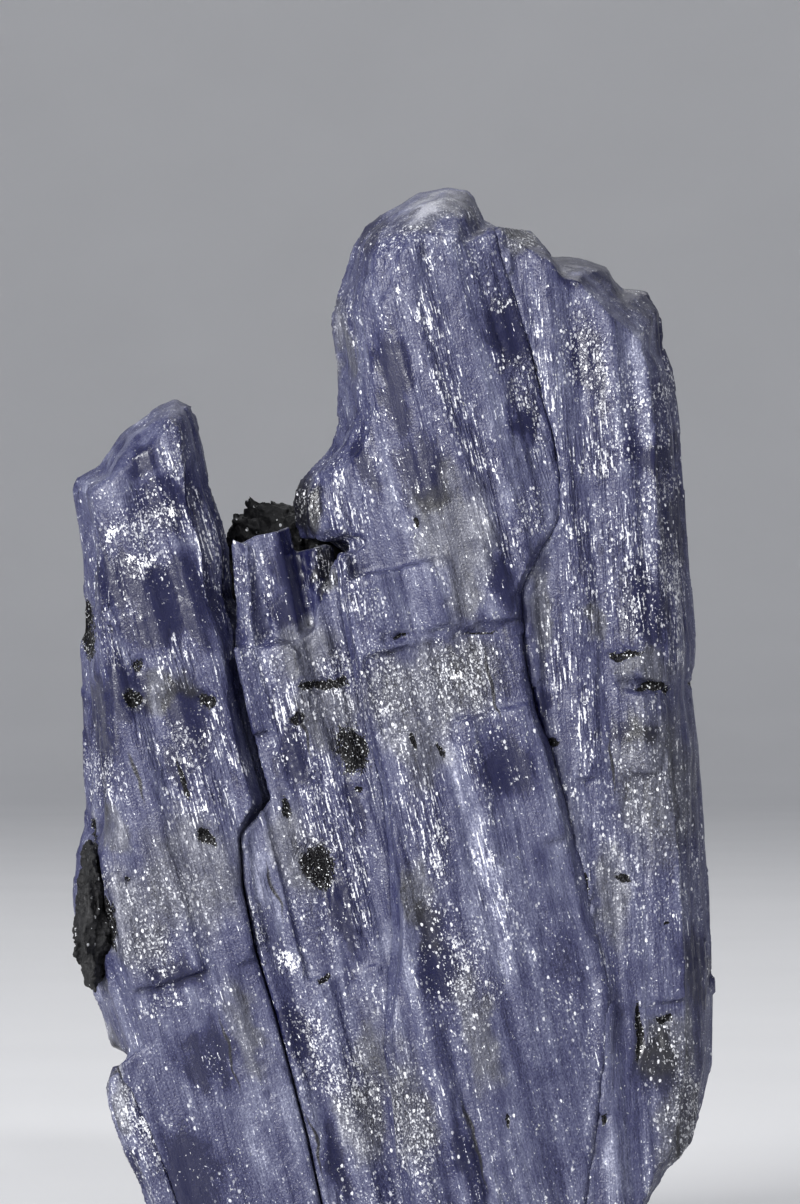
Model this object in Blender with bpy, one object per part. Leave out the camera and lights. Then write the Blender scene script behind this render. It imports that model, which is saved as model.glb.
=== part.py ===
"""A tanzanite crystal cluster: four striated crystals grown side by side, a small one at their foot,
and two lumps of black graphite.

The frame has +Z up, X to the right and Y away from the viewer. The cluster stands on the flat face
where it was broken from the rock, which is at z = 0, and the origin is on that face under its middle.
Sizes are in millimetres and become metres as each mesh is made.

Each crystal is a ridged prism that leans the way its striations run, cut to the crystal's own outline.
The outline is a stack of layers from front to back. On a free side the layers pull in towards the
front and the back and are grooved, which gives the side its faces. On a side that meets a neighbour
they follow the shared seam, which kinks halfway through, so that no light passes between two crystals.
Flakes and grooves are then taken out where the crystal is bevelled, stepped, parted or chipped.
"""

import math
import random

import bmesh
import bpy
import numpy as np
from mathutils import Matrix, Vector, noise

MM = 0.001
HEIGHT = 64.0
CONTACT_GAP = 0.3
SEAM_KINK = 1.5
SLIT_HALF_WIDTH = 0.45
SIDE_GROOVE = 0.4
SIDE_WEAR = 0.8
FLAKE_THICKNESS = 9.0
LUMP_GRAIN = 6.0
LUMP_ROUGHNESS = 0.5

# How a point of an outline behaves from layer to layer.
FREE = "free"
SEAM = "seam"
SLIT = "slit"

# The outline's layers from front to back. The one at OUTLINE_DEPTH has the outline itself.
OUTLINE_DEPTH = 0.5
LAYER_DEPTHS = (
    -10.0, -8.4, -7.2, -6.0, -4.9, -3.8, -2.4, -1.0, OUTLINE_DEPTH, 1.8, 3.0, 4.2, 5.6, 7.0, 8.2, 10.5,
)
# How the outline changes with depth: depth, how far free sides go to the spine as a share of the way, pull-in
# along a seam, and share of the seam's kink.
PROFILE = (
    (-10.0, 0.50, 0.45, 0.0),
    (-6.0, 0.16, CONTACT_GAP / 2, 0.0),
    (-2.0, 0.02, CONTACT_GAP / 2, 1.0),
    (OUTLINE_DEPTH, 0.0, CONTACT_GAP / 2, 1.0),
    (3.0, 0.03, CONTACT_GAP / 2, 1.0),
    (7.0, 0.22, CONTACT_GAP / 2, 0.0),
    (10.5, 0.55, 0.9, 0.0),
)
# A slit is open in front of this depth and closed behind it.
SLIT_DEPTH = -4.0

# Outlines in the front view, as (x, z) in millimetres. A seam is shared by the crystals on its two sides.
FOOT_SEAM = (
    (-17.0, 11.5), (-16.0, 10.3), (-14.8, 7.8), (-13.8, 5.0), (-13.1, 3.0), (-12.3, -1.0),
)
LEFT_SLIT = (
    (-10.1, 36.8), (-9.6, 33.2), (-8.8, 29.6), (-8.2, 27.4),
)
LEFT_SEAM = (
    (-9.4, 25.2), (-9.2, 22.4), (-8.5, 18.8), (-7.3, 14.9), (-6.4, 11.5), (-5.4, 7.6), (-4.4, 3.0),
    (-3.6, -1.0),
)
MIDDLE_SEAM = (
    (-3.7, 41.8), (-3.3, 38.0), (-2.3, 32.9), (-1.0, 28.2), (-0.5, 24.2), (-0.2, 19.4), (-0.6, 15.0),
    (-0.7, 12.8), (-0.2, 9.8), (0.1, 6.2), (0.6, 3.0), (1.1, -1.0),
)
RIGHT_SEAM = (
    (5.6, 61.2), (5.9, 59.8), (6.6, 57.5), (7.3, 55.4), (8.3, 51.8), (9.1, 49.2), (9.6, 46.4), (9.4, 44.0),
    (8.1, 41.9), (7.2, 39.8), (7.4, 36.2), (8.1, 32.6), (8.9, 30.5), (9.9, 26.6), (10.6, 23.6),
    (11.4, 19.4), (12.3, 16.1), (12.0, 11.6), (11.4, 7.4), (10.8, 3.0), (10.2, -1.0),
)
LEFT_CRYSTAL_TIP_AND_SIDE = (
    (-12.7, 51.1), (-13.4, 51.4), (-14.4, 50.9), (-16.3, 49.7), (-17.3, 48.5), (-18.1, 47.3), (-19.5, 46.6),
    (-19.8, 45.9), (-19.5, 44.0), (-19.2, 41.8), (-19.1, 38.9), (-19.3, 36.5), (-19.1, 32.9), (-19.0, 28.1),
    (-18.9, 25.7), (-19.4, 23.9), (-19.5, 20.9), (-19.2, 18.5), (-18.7, 17.0), (-18.1, 14.9), (-17.4, 12.4),
)
LEFT_CRYSTAL_NOTCH_SIDE = (
    (-10.1, 39.4), (-10.1, 42.3), (-10.5, 43.9), (-11.3, 46.1), (-11.8, 48.5), (-12.3, 50.2),
)
MIDDLE_CRYSTAL_TOP = (
    (-8.7, 37.5), (-7.6, 37.8), (-6.3, 37.2), (-4.9, 38.4), (-4.5, 41.0),
)
TALL_CRYSTAL_TOP_AND_NOTCH = (
    (5.2, 62.0), (4.6, 63.4), (4.0, 63.9), (2.7, HEIGHT), (1.2, 63.6), (-0.3, 62.9), (-2.0, 61.8),
    (-2.9, 60.5), (-3.6, 58.2), (-4.1, 56.3), (-3.7, 53.3), (-3.7, 49.9), (-4.2, 48.4), (-6.1, 46.4),
    (-6.5, 45.2), (-6.4, 43.9), (-6.0, 42.9), (-4.3, 42.8), (-3.8, 42.4),
)
RIGHT_CRYSTAL_SIDE_AND_TOP = (
    (14.3, -1.0), (14.8, 3.1), (15.5, 4.1), (16.2, 5.3), (17.5, 6.5), (18.2, 8.6), (18.8, 11.3), (18.8, 17.5),
    (18.5, 22.1), (18.0, 30.5), (17.6, 33.6), (17.8, 36.5), (17.3, 42.5), (16.8, 49.6), (16.4, 52.9),
    (15.8, 54.5), (15.6, 56.6), (14.9, 57.8), (13.3, 57.9), (12.4, 59.3), (10.5, 59.8), (8.9, 59.9),
    (8.4, 60.8), (7.8, 61.5),
)
FOOT_CRYSTAL_SIDE = (
    (-14.0, -1.0), (-15.2, 3.1), (-15.5, 4.1), (-16.1, 5.3), (-16.7, 6.5), (-17.2, 7.7), (-17.5, 8.9),
    (-17.6, 10.1), (-17.3, 11.2),
)

# What is taken out of each crystal. A flake is (name, centre of the face it leaves, width, height, turn,
# tilt, lean): turn 0 faces the viewer, 90 faces right and 180 faces back, and tilt lifts the face to look up.
LEFT_FLAKES = (
    ("left_lower_face", (-9.6, -6.45, 8.0), 19.0, 19.0, -3.0, -0.8, 15.5),
    ("left_tip_back", (-15.0, 2.4, 49.0), 20.0, 14.0, 180.0, 48.0, 0.0),
    ("left_tip_front", (-15.8, -6.2, 48.2), 12.0, 3.0, 0.0, 50.0, 40.0),
    ("left_edge_notch", (-18.9, -4.6, 37.7), 3.6, 4.2, -60.0, 8.0, 0.0),
    ("left_front_edge", (-18.2, -5.9, 29.0), 4.0, 12.0, -35.0, 0.0, 4.0),
    ("left_back_left", (-17.6, 4.0, 26.0), 6.0, 30.0, -140.0, 0.0, 4.0),
    ("left_back_step", (-9.6, 4.9, 14.0), 12.0, 20.0, 184.0, -2.0, -15.5),
)
MIDDLE_FLAKES = (
    ("middle_front_step", (-4.9, -6.05, 24.5), 5.0, 15.0, -6.0, 0.0, 14.5),
    ("middle_back_step", (-2.6, 4.6, 12.0), 8.0, 14.0, 176.0, 0.0, -14.5),
)
TALL_FLAKES = (
    ("tall_top_front", (2.2, -7.0, 62.2), 18.0, 7.0, -4.0, 42.0, 0.0),
    ("tall_top_back", (2.0, 5.2, 61.9), 18.0, 10.0, 172.0, 34.0, 0.0),
    ("tall_right_facet", (9.6, -7.2, 46.5), 11.0, 30.0, 20.0, 0.0, 14.0),
    ("tall_left_facet", (-1.7, -7.3, 50.5), 7.0, 19.0, -25.0, 0.0, 14.0),
    ("tall_break", (3.0, -8.1, 34.6), 9.6, 5.0, 0.0, 2.0, 14.0),
    ("tall_lower_facet", (9.5, -8.0, 12.0), 11.0, 26.0, 10.0, -3.5, 14.0),
    ("knob_back", (-6.5, 0.8, 45.6), 4.6, 7.6, 180.0, 0.0, 0.0),
    ("knob_underside", (-5.6, -4.6, 43.0), 3.6, 2.6, -6.0, -52.0, 0.0),
    ("tall_back_facet", (-2.4, 5.9, 50.0), 7.0, 34.0, 212.0, 0.0, -14.0),
    ("tall_back_step", (5.4, 7.0, 17.0), 12.0, 22.0, 182.0, -1.5, -14.0),
    ("tall_back_parting", (3.0, 6.7, 40.0), 15.0, 5.0, 178.0, 3.0, -14.0),
)
RIGHT_FLAKES = (
    ("right_corner", (13.6, -4.9, 56.5), 14.0, 12.0, 55.0, 41.0, 0.0),
    ("right_top_back", (12.0, 4.6, 58.6), 18.0, 10.0, 172.0, 40.0, 0.0),
    ("right_granular_face", (14.2, -7.1, 22.2), 9.4, 13.6, 2.0, 0.0, 4.5),
    ("right_lower_block", (16.8, -6.7, 6.6), 7.0, 18.0, 8.0, 0.0, 4.5),
    ("right_side_step", (18.5, -1.0, 25.0), 7.0, 17.0, 90.0, 0.0, 0.0),
    ("right_back_edge", (17.0, 5.0, 40.0), 5.0, 34.0, 135.0, 0.0, 3.0),
    ("right_back_step", (13.0, 6.5, 12.0), 12.0, 22.0, 180.0, 2.0, -4.5),
)
# A groove is (name, start, end, width of the square bar that cuts it).
LEFT_GROOVES = (
    ("left_blade_groove", (-8.6, -7.2, 13.4), (-11.9, -7.2, 25.6), 0.8),
)
TALL_GROOVES = (
    ("tall_parting", (-1.2, -8.8, 36.9), (6.9, -8.6, 37.7), 0.9),
    ("tall_lower_line", (5.6, -8.8, 2.6), (2.7, -8.8, 14.2), 0.8),
    ("tall_glint_groove", (2.6, -8.9, 42.0), (-1.0, -8.9, 57.0), 0.8),
)
RIGHT_GROOVES = (
    ("right_parting", (12.6, -7.6, 34.3), (18.2, -7.4, 33.9), 0.9),
    ("right_side_parting", (17.9, -8.0, 34.0), (17.9, 8.0, 35.4), 0.8),
)


def collection(name, in_render):
    """A new collection in the scene, which the render shows or not."""
    made = bpy.data.collections.new(name)
    made.hide_render = not in_render
    bpy.context.scene.collection.children.link(made)
    return made


def clear_scene():
    for obj in list(bpy.data.objects):
        bpy.data.objects.remove(obj)


def to_object(name, mesh_maker, home):
    """Turns a bmesh in millimetres into a named object in metres, with its faces pointing out."""
    bmesh.ops.scale(mesh_maker, vec=(MM, MM, MM), verts=mesh_maker.verts)
    bmesh.ops.recalc_face_normals(mesh_maker, faces=mesh_maker.faces)
    if mesh_maker.calc_volume(signed=True) < 0:
        bmesh.ops.reverse_faces(mesh_maker, faces=mesh_maker.faces)
    mesh = bpy.data.meshes.new(name)
    mesh_maker.to_mesh(mesh)
    mesh_maker.free()
    obj = bpy.data.objects.new(name, mesh)
    home.objects.link(obj)
    if home.hide_render:
        obj.hide_render = True
        obj.display_type = "WIRE"
    return obj


def cut(obj, tool, operation):
    """Adds a Boolean modifier that cuts obj to the tool, takes the tool from it or joins the two."""
    modifier = obj.modifiers.new(tool.name, "BOOLEAN")
    modifier.operation = operation
    modifier.object = tool


def material(name, colour, roughness):
    """A Principled material with the mineral's own colour and polish."""
    made = bpy.data.materials.new(name)
    made.use_nodes = True
    shader = made.node_tree.nodes["Principled BSDF"]
    shader.inputs["Base Color"].default_value = (*colour, 1.0)
    shader.inputs["Roughness"].default_value = roughness
    shader.inputs["Metallic"].default_value = 0.0
    return made


def nearest_on(line, point):
    """The point of a straight line, given by its two ends, that is nearest to a point."""
    start, end = (Vector(p) for p in line)
    along = end - start
    share = (Vector(point) - start).dot(along) / along.length_squared
    return start + along * min(1.0, max(0.0, share))


def profile_at(depth):
    """The outline's share to the spine, seam pull-in and kink at a depth, read from PROFILE."""
    depths, *columns = zip(*PROFILE)
    return [float(np.interp(depth, depths, column)) for column in columns]


def side_wear(layer, point, to_spine):
    """How far a free side is worn back: not at all in the outline's own layer, and elsewhere in grooves that
    run along the crystal, deepest on its flanks and lost towards its end."""
    depth = LAYER_DEPTHS[layer]
    if depth == OUTLINE_DEPTH:
        return 0.0
    groove_depth = SIDE_GROOVE * (layer % 2)
    uneven = SIDE_WEAR * (0.5 + noise.noise(Vector((depth * 0.9, point.x * 0.15, point.y * 0.08))))
    return (groove_depth + uneven) * abs(to_spine.normalized().x)


def outline_block(name, spine, runs, home):
    """The block that a crystal's outline cuts it to.

    runs holds (points, kind) in order round the outline. spine is the crystal's middle line, towards
    which the free sides pull in."""
    points = [(Vector(p), kind) for run, kind in runs for p in run]
    bm = bmesh.new()
    rings = []
    for layer, depth in enumerate(LAYER_DEPTHS):
        free_share, seam_pull, kink = profile_at(depth)
        ring = []
        for point, kind in points:
            to_spine = nearest_on(spine, point) - point
            if kind == FREE:
                worn = side_wear(layer, point, to_spine)
                place = point + to_spine * free_share + to_spine.normalized() * worn
            else:
                open_slit = kind == SLIT and depth < SLIT_DEPTH
                place = point + to_spine.normalized() * (SLIT_HALF_WIDTH if open_slit else seam_pull)
                place.x += SEAM_KINK * kink
            ring.append(bm.verts.new((place.x, depth, place.y)))
        rings.append(ring)
    for ring in (rings[0], rings[-1]):
        bm.faces.new(ring)
    for near, far in zip(rings, rings[1:]):
        for i in range(len(points)):
            j = (i + 1) % len(points)
            bm.faces.new((near[i], near[j], far[j], far[i]))
    return to_object(name, bm, home)


def ridge_line(rng, start, end, depth, height, widest):
    """Points across a face, from start to end, that alternate between ridge and groove."""
    points = []
    at = start
    side = 1
    while at < end:
        points.append((at, depth + side * height * rng.uniform(0.25, 1.0)))
        at += rng.uniform(0.35, 1.0) * widest
        side = -side
    points.append((end, depth))
    return points


def ridged_prism(name, lean, across, front, back, ridges, seed, home):
    """A tall prism with ridged front and back faces, which leans left as the striations do."""
    rng = random.Random(seed)
    start, end = across
    front_line = ridge_line(rng, start, end, front, ridges, 2.2)
    back_line = ridge_line(rng, start, end, back, ridges * 1.6, 3.4)
    section = front_line + back_line[::-1]
    bm = bmesh.new()
    base = bm.faces.new([bm.verts.new((x, y, 0.0)) for x, y in section])
    grown = bmesh.ops.extrude_face_region(bm, geom=[base])
    top = [item for item in grown["geom"] if isinstance(item, bmesh.types.BMVert)]
    tall = HEIGHT + 2.0
    bmesh.ops.translate(bm, vec=(-tall * math.tan(math.radians(lean)), 0.0, tall), verts=top)
    return to_object(name, bm, home)


def flake(name, face, width, height, turn, tilt, lean, home):
    """A block that takes off all that stands in front of a rectangle, for a bevel, a step or a chip."""
    bm = bmesh.new()
    bmesh.ops.create_cube(bm, size=1.0)
    bmesh.ops.scale(bm, vec=(width, FLAKE_THICKNESS, height), verts=bm.verts)
    bmesh.ops.translate(bm, vec=(0.0, -FLAKE_THICKNESS / 2, 0.0), verts=bm.verts)
    for degrees, axis in ((-tilt, "X"), (turn, "Z"), (-lean, "Y")):
        spin = Matrix.Rotation(math.radians(degrees), 3, axis)
        bmesh.ops.rotate(bm, cent=(0, 0, 0), matrix=spin, verts=bm.verts)
    bmesh.ops.translate(bm, vec=face, verts=bm.verts)
    return to_object(name, bm, home)


def groove(name, start, end, width, home):
    """A square bar from start to end, edge on to the face that it runs along, for a crack or a parting."""
    start, end = Vector(start), Vector(end)
    along = end - start
    bm = bmesh.new()
    bmesh.ops.create_cube(bm, size=1.0)
    bmesh.ops.scale(bm, vec=(width, width, along.length), verts=bm.verts)
    edge_on = Matrix.Rotation(math.radians(45), 3, "Z")
    bmesh.ops.rotate(bm, cent=(0, 0, 0), matrix=edge_on, verts=bm.verts)
    bmesh.ops.rotate(bm, cent=(0, 0, 0), matrix=along.to_track_quat("Z", "Y").to_matrix(), verts=bm.verts)
    bmesh.ops.translate(bm, vec=(start + end) / 2, verts=bm.verts)
    return to_object(name, bm, home)


def short_prism(name, foot, width, depth, tall, lean, sides, tip, home):
    """A small crystal: a cylinder of few sides, leaning, with a slanting end face."""
    bm = bmesh.new()
    bmesh.ops.create_cone(
        bm, cap_ends=True, segments=sides, radius1=0.5, radius2=0.5, depth=1.0,
        matrix=Matrix.Translation((0, 0, 0.5)),
    )
    bmesh.ops.rotate(
        bm, cent=(0, 0, 0), matrix=Matrix.Rotation(math.radians(180 / sides), 3, "Z"), verts=bm.verts
    )
    slope = math.tan(math.radians(lean))
    for vert in bm.verts:
        x, y, z = vert.co
        up = z * (tall + tip * x)
        vert.co = (foot[0] + x * width - slope * up, foot[1] + y * depth, foot[2] + up)
    return to_object(name, bm, home)


def lump(name, centre, size, squareness, seed, home):
    """A crumbly lump: a subdivided ball, squared off, whose points are pushed in and out by noise.

    A squareness of 2 keeps the ball, and a larger one nears a box."""
    bm = bmesh.new()
    bmesh.ops.create_icosphere(bm, subdivisions=3, radius=0.5)
    for vert in bm.verts:
        reach = sum(abs(2 * part) ** squareness for part in vert.co) ** (1 / squareness)
        push = (1.0 + LUMP_ROUGHNESS * noise.noise(vert.co * LUMP_GRAIN + Vector((seed, 0, 0)))) / reach
        vert.co = [c + s * p * push for c, s, p in zip(centre, size, vert.co)]
    return to_object(name, bm, home)


def graphite_and_pocket(name, centre, size, squareness, seed, parts, tools):
    """A lump of graphite, and the slightly larger lump that makes room for it in the crystals round it."""
    roomy = [s + 2 * CONTACT_GAP for s in size]
    pocket = lump(name + "_pocket", centre, roomy, squareness, seed, tools)
    return lump(name, centre, size, squareness, seed, parts), pocket


def take_out(crystal, flakes, grooves, tools):
    """Cuts a crystal's bevels, steps, chips and partings."""
    for name, face, width, height, turn, tilt, lean in flakes:
        cut(crystal, flake(name, face, width, height, turn, tilt, lean, tools), "DIFFERENCE")
    for name, start, end, width in grooves:
        cut(crystal, groove(name, start, end, width, tools), "DIFFERENCE")


def left_crystal(parts, tools, pockets):
    """The blade on the left, with its slanting tip."""
    crystal = ridged_prism("left_crystal", 15.5, (-18.0, 6.0), -6.9, 5.8, 0.35, 11, parts)
    runs = ((LEFT_CRYSTAL_TIP_AND_SIDE, FREE), (FOOT_SEAM, SEAM), (LEFT_SEAM[::-1], SEAM),
            (LEFT_SLIT[::-1], SLIT), (LEFT_CRYSTAL_NOTCH_SIDE, FREE))
    cut(crystal, outline_block("left_outline", ((-7.5, 0.0), (-14.6, 44.5)), runs, tools), "INTERSECT")
    take_out(crystal, LEFT_FLAKES, LEFT_GROOVES, tools)
    for pocket in pockets:
        cut(crystal, pocket, "DIFFERENCE")
    return crystal


def foot_crystal(parts, tools):
    """The sliver that grows along the foot of the left crystal."""
    crystal = ridged_prism("foot_crystal", 20.0, (-24.0, -8.0), -5.4, 3.6, 0.2, 23, parts)
    runs = ((FOOT_SEAM, SEAM), (FOOT_CRYSTAL_SIDE, FREE))
    cut(crystal, outline_block("foot_outline", ((-13.2, 0.0), (-16.8, 9.5)), runs, tools), "INTERSECT")
    return crystal


def middle_crystal(parts, tools, notch_pocket):
    """The broken column between the left and the tall crystal, with the short prisms on its break."""
    crystal = ridged_prism("middle_crystal", 14.5, (-10.0, 8.0), -6.2, 5.2, 0.35, 37, parts)
    runs = ((MIDDLE_CRYSTAL_TOP, FREE), (MIDDLE_SEAM, SEAM), (LEFT_SEAM[::-1], SEAM),
            (LEFT_SLIT[::-1], SLIT))
    cut(crystal, outline_block("middle_outline", ((-1.5, 0.0), (-6.2, 33.0)), runs, tools), "INTERSECT")
    take_out(crystal, MIDDLE_FLAKES, (), tools)
    stubs = (
        short_prism("blue_stub", (-5.55, -4.0, 32.5), 3.1, 3.6, 10.6, 13.0, 6, 1.0, tools),
        short_prism("pale_stub", (-8.75, -4.7, 36.2), 1.7, 2.4, 6.2, 3.0, 5, -1.0, tools),
        short_prism("silver_stub", (-4.4, -3.4, 35.0), 2.4, 3.2, 7.2, 6.0, 5, 0.5, tools),
    )
    for stub in stubs:
        cut(crystal, stub, "UNION")
    cut(crystal, notch_pocket, "DIFFERENCE")
    return crystal


def tall_crystal(parts, tools, notch_pocket):
    """The tallest crystal, in front of its neighbours."""
    crystal = ridged_prism("tall_crystal", 14.0, (-8.0, 24.0), -8.6, 7.4, 0.4, 41, parts)
    runs = ((TALL_CRYSTAL_TOP_AND_NOTCH, FREE), (MIDDLE_SEAM, SEAM), (RIGHT_SEAM[::-1], SEAM))
    cut(crystal, outline_block("tall_outline", ((6.5, 0.0), (1.6, 57.0)), runs, tools), "INTERSECT")
    take_out(crystal, TALL_FLAKES, TALL_GROOVES, tools)
    cut(crystal, notch_pocket, "DIFFERENCE")
    return crystal


def right_crystal(parts, tools):
    """The broad slab on the right, with its stepped end."""
    crystal = ridged_prism("right_crystal", 4.5, (3.0, 26.0), -7.4, 7.0, 0.35, 59, parts)
    runs = ((RIGHT_CRYSTAL_SIDE_AND_TOP, FREE), (RIGHT_SEAM, SEAM))
    cut(crystal, outline_block("right_outline", ((12.6, 0.0), (11.6, 53.0)), runs, tools), "INTERSECT")
    take_out(crystal, RIGHT_FLAKES, RIGHT_GROOVES, tools)
    return crystal


def main():
    clear_scene()
    parts = collection("tanzanite_cluster", True)
    tools = collection("cutters", False)
    tanzanite = material("tanzanite", (0.16, 0.18, 0.36), 0.25)
    graphite = material("graphite", (0.02, 0.02, 0.022), 0.55)

    side_graphite, side_pocket = graphite_and_pocket(
        "side_graphite", (-18.2, -4.0, 20.4), (2.1, 5.0, 8.2), 2.0, 3, parts, tools
    )
    notch_graphite, notch_pocket = graphite_and_pocket(
        "notch_graphite", (-7.0, 3.3, 40.9), (6.8, 3.6, 7.6), 3.5, 8, parts, tools
    )

    crystals = (
        left_crystal(parts, tools, (side_pocket, notch_pocket)),
        foot_crystal(parts, tools),
        middle_crystal(parts, tools, notch_pocket),
        tall_crystal(parts, tools, notch_pocket),
        right_crystal(parts, tools),
    )
    for crystal in crystals:
        crystal.data.materials.append(tanzanite)
    for black in (side_graphite, notch_graphite):
        black.data.materials.append(graphite)


main()
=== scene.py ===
# %% [markdown]
# # A tanzanite crystal cluster
#
# The cluster is a bundle of zoisite crystals that grew side by side, with black graphite between them.
# The solids already have each crystal's outline, bevels and steps. What they lack is the skin: the fine
# striations that run along every crystal, the broken ends, the cloudy violet-blue body with its dark pools
# and pale worn zones, and the bright glints. This script adds that skin, one crystal at a time.

# %% Load the solids
import math

import bpy
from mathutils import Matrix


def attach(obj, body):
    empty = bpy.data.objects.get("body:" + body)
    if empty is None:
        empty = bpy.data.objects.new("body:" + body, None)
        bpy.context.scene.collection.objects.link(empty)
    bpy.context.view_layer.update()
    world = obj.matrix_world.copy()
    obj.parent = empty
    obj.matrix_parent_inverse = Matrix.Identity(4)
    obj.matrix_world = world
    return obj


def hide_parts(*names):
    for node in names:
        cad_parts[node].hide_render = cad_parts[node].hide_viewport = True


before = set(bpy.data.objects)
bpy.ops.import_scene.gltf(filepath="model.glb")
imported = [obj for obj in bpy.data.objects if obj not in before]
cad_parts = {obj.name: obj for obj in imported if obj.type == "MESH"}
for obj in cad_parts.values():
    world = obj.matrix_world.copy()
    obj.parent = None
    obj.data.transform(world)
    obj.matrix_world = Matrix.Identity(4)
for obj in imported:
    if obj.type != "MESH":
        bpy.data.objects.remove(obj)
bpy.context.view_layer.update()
print("solids:", sorted(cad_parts))

# %% [markdown]
# ## Camera
#
# The photo looks at the cluster from straight ahead, at half its height, through a long lens. One of its
# pixels covers 0.06 mm of the crystals, so its 800 by 1204 pixels cover 48 by 72 mm. The lens follows from
# that height and the distance.

# %% Camera
MM = 0.001
IMAGE_HEIGHT = 1204
PIXEL_SIZE = 0.06 * MM
VIEW_HEIGHT = IMAGE_HEIGHT * PIXEL_SIZE
VIEW_CENTRE_Z = 39.12 * MM
CAMERA_DISTANCE = 0.4
NEAREST_SEEN = 0.01
SENSOR = 36.0


def add_camera():
    """The camera straight in front, with the lens that takes in the photo's height."""
    bpy.ops.object.camera_add(location=(0, -CAMERA_DISTANCE, VIEW_CENTRE_Z), rotation=(math.pi / 2, 0, 0))
    camera = bpy.context.object
    camera.data.sensor_width = SENSOR
    camera.data.lens = SENSOR * CAMERA_DISTANCE / VIEW_HEIGHT
    camera.data.clip_start = NEAREST_SEEN
    bpy.context.scene.camera = camera
    return camera


print("lens:", round(add_camera().data.lens, 1), "mm")

# %% [markdown]
# ## A socket with operators
#
# Patterns are easier to read as sums than as webs of nodes. This small class wraps one socket, of a material
# or of a geometry node tree alike, and each operator on it adds the Math node that does the sum. Because the
# same class serves both kinds of tree, one pattern can push the surface in and also colour it.

# %% Value


class Value:
    """A socket of a node tree. Operators on it add Math nodes, and node() adds any other node."""

    def __init__(self, tree, socket):
        self.tree = tree
        self.socket = socket

    def node(self, kind, settings=None, sockets=None, output=0):
        made = self.tree.nodes.new(kind)
        for name, setting in (settings or {}).items():
            if name == "stops":
                place_stops(made.color_ramp.elements, setting)
            else:
                setattr(made, name, setting)
        for key, given in (sockets or {}).items():
            if isinstance(given, Value):
                self.tree.links.new(given.socket, made.inputs[key])
            else:
                made.inputs[key].default_value = given
        return Value(self.tree, made.outputs[output])

    def also(self, output):
        """Another output of the node that this socket belongs to."""
        return Value(self.tree, self.socket.node.outputs[output])

    def maths(self, operation, *terms):
        return self.node("ShaderNodeMath", {"operation": operation}, dict(enumerate(terms)))

    def vectors(self, operation, *terms, output="Vector"):
        return self.node("ShaderNodeVectorMath", {"operation": operation}, dict(enumerate(terms)), output)

    def __add__(self, other):
        return self.maths("ADD", self, other)

    def __sub__(self, other):
        return self.maths("SUBTRACT", self, other)

    def __rsub__(self, other):
        return self.maths("SUBTRACT", other, self)

    def __mul__(self, other):
        return self.maths("MULTIPLY", self, other)

    def __truediv__(self, other):
        return self.maths("DIVIDE", self, other)

    __radd__ = __add__
    __rmul__ = __mul__

    def most(self, other):
        return self.maths("MAXIMUM", self, other)

    def least(self, other):
        return self.maths("MINIMUM", self, other)

    def size(self):
        return self.maths("ABSOLUTE", self)

    def dot(self, direction):
        """How far a place or a normal goes in a direction."""
        return self.vectors("DOT_PRODUCT", self, direction, output="Value")

    def step(self, low, high):
        """A smooth step from 0 at low to 1 at high, or down if low is the larger."""
        settings = {"interpolation_type": "SMOOTHSTEP"}
        return self.node("ShaderNodeMapRange", settings, {"Value": self, "From Min": low, "From Max": high})

    def mix(self, one, other):
        """The colour one where this value is 0 and the colour other where it is 1."""
        return self.node("ShaderNodeMix", {"data_type": "RGBA"}, {0: self, 6: one, 7: other}, 2)

    def ramp(self, *stops):
        """The colour at this value on a ramp."""
        return self.node("ShaderNodeValToRGB", {"stops": stops}, {0: self})


def place_stops(elements, stops):
    """Gives a colour ramp its stops, as (position, colour)."""
    while len(elements) < len(stops):
        elements.new(1.0)
    for element, (position, colour) in zip(elements, stops):
        element.position = position
        element.color = colour


print("an operator on a Value adds a Math node")

# %% [markdown]
# ## Places on a crystal
#
# Striations run along a crystal's length, and each crystal leans its own way. So every pattern is drawn in
# the crystal's own measure: millimetres across the striations, into the depth and along them. Noise that is
# drawn out along the third becomes a striation, a splinter or a streak of glints.

# %% Grain
WANDER_WIDTH = 1.6
WANDER_STRETCH = 1.5
WANDER_ALONG = 1.6
OVAL_EDGE = (1.4, 0.5)
FRONT_FADE = (5.0, 2.0)


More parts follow.
